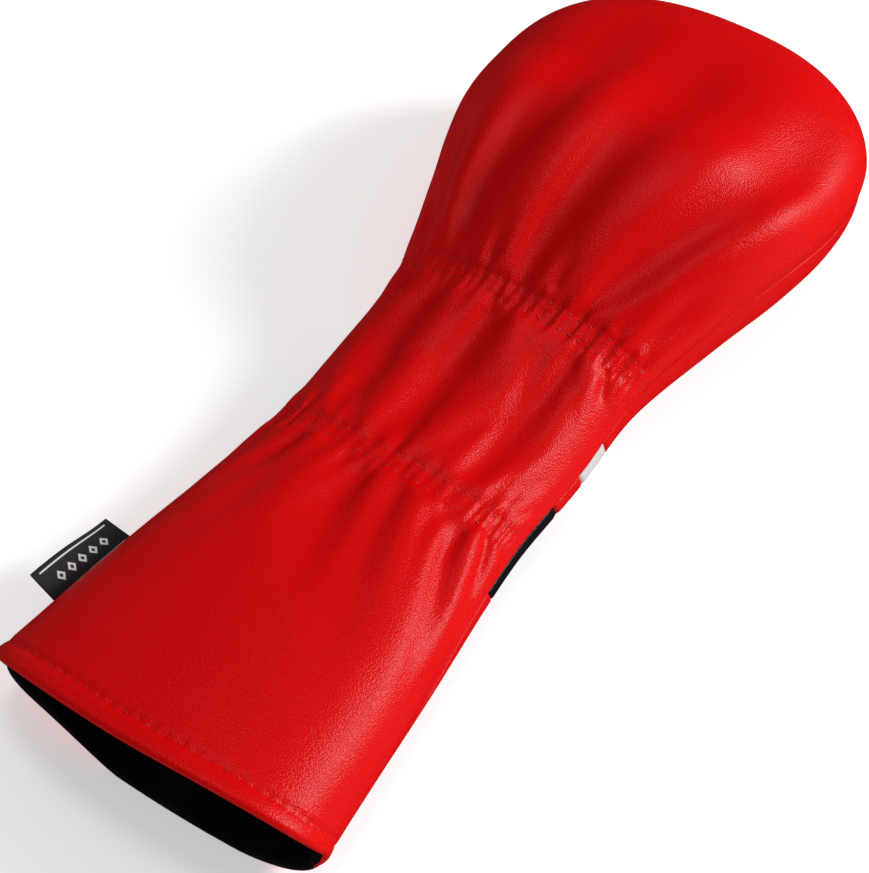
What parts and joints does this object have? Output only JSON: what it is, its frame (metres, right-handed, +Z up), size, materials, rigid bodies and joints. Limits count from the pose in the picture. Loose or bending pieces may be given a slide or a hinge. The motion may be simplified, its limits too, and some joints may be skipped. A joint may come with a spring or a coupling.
{
  "type": "driver head cover",
  "caption": "Padded leather cover for the head of a golf driver, with an elastic gathered neck, a plush lining, a contrast-banded front and a woven side label.",
  "frame": {"origin": "on the flat underside of the front panel, below the middle of the cover's length, midway between the side seams", "axes": "+Y from the open mouth to the crown, +Z up through the gathered back panel, +X to the seam without the label"},
  "size_m": [0.1452, 0.364, 0.073],
  "materials": {
    "red_leather": "fine pebble grain, semi-gloss",
    "black_leather": "fine pebble grain, semi-gloss",
    "white_leather": "fine pebble grain, semi-gloss",
    "foam": "open-cell foam with fabric backing",
    "black_plush": "short velvet pile",
    "elastic": "ribbed elastic webbing",
    "red_thread": "twisted polyester thread",
    "black_thread": "twisted polyester thread",
    "woven_label": "fine satin weave"
  },
  "bodies": {
    "cover": {"back_panel": "red_leather", "front_cuff_panel": "red_leather", "front_black_band": "black_leather", "front_neck_panel": "red_leather", "front_white_band": "white_leather", "front_head_panel": "red_leather", "back_padding": "foam", "front_padding": "foam", "back_lining": "black_plush", "front_lining": "black_plush", "upper_elastic": "elastic", "lower_elastic": "elastic", "hem_stitching": "red_thread", "upper_gather_stitching": "red_thread", "lower_gather_stitching": "red_thread", "side_seam_stitching": "red_thread", "band_stitching": "red_thread", "lining_seam_stitching": "black_thread"},
    "label": {"side_label": "woven_label"}
  },
  "joints": [
    {"name": "label_flex", "type": "hinge", "parent": "cover", "child": "label", "pos_m": [-0.05745, -0.13638, 0.01977], "axis": [0.0972, 0.9952, -0.0105], "range_deg": [-50, 60], "stiffness_Nm_per_rad": 0.002}
  ]
}
